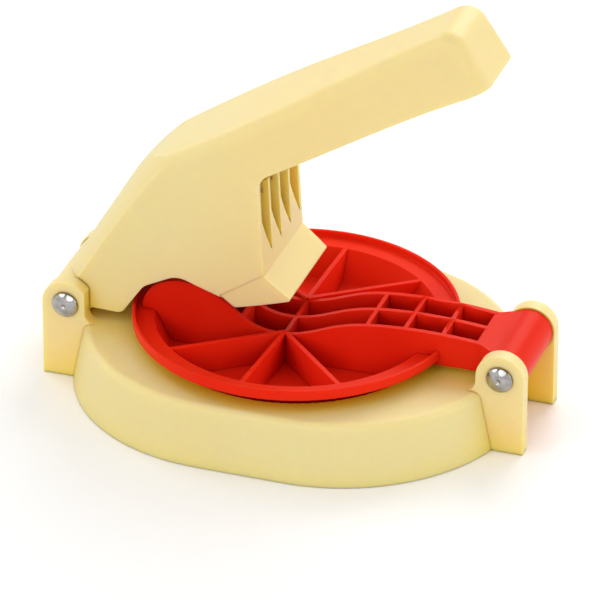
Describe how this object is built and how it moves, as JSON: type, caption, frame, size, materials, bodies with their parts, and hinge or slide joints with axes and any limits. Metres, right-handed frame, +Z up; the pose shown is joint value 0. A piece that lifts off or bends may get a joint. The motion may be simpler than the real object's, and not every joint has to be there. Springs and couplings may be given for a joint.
{
  "type": "puri press",
  "caption": "Hand press for flat breads: a round plate shaped as a ribbed bowl, hinged at one end of a hollow oval base and a long lever handle hinged at the other.",
  "frame": {"origin": "middle of the base's outline, on the ground", "axes": "+Z up; +X along the length, from the handle's hinge to the plate's hinge; +Y across, away from the side shown in the picture"},
  "size_m": [0.2116, 0.155, 0.1841],
  "materials": {
    "cream_plastic": "satin moulded plastic, butter yellow",
    "red_plastic": "satin moulded plastic, bright red",
    "polished_steel": "polished steel"
  },
  "bodies": {
    "stand": {"base": "cream_plastic", "handle_pin": "polished_steel", "handle_pin_cap_near": "polished_steel", "handle_pin_cap_far": "polished_steel", "plate_pin": "polished_steel", "plate_pin_cap_near": "polished_steel", "plate_pin_cap_far": "polished_steel"},
    "plate": {"pressing_plate": "red_plastic"},
    "lever": {"handle": "cream_plastic"}
  },
  "joints": [
    {"name": "handle_hinge", "type": "hinge", "parent": "stand", "child": "lever", "pos_m": [-0.0954, 0, 0.0345], "axis": [0, -1, 0], "range_deg": [0, 130]},
    {"name": "plate_hinge", "type": "hinge", "parent": "stand", "child": "plate", "pos_m": [0.0954, 0, 0.0345], "axis": [0, 1, 0], "range_deg": [0, 110]}
  ],
  "couplings": [
    {"joint": "plate_hinge", "follows": "handle_hinge", "ratio": 0.15}
  ]
}
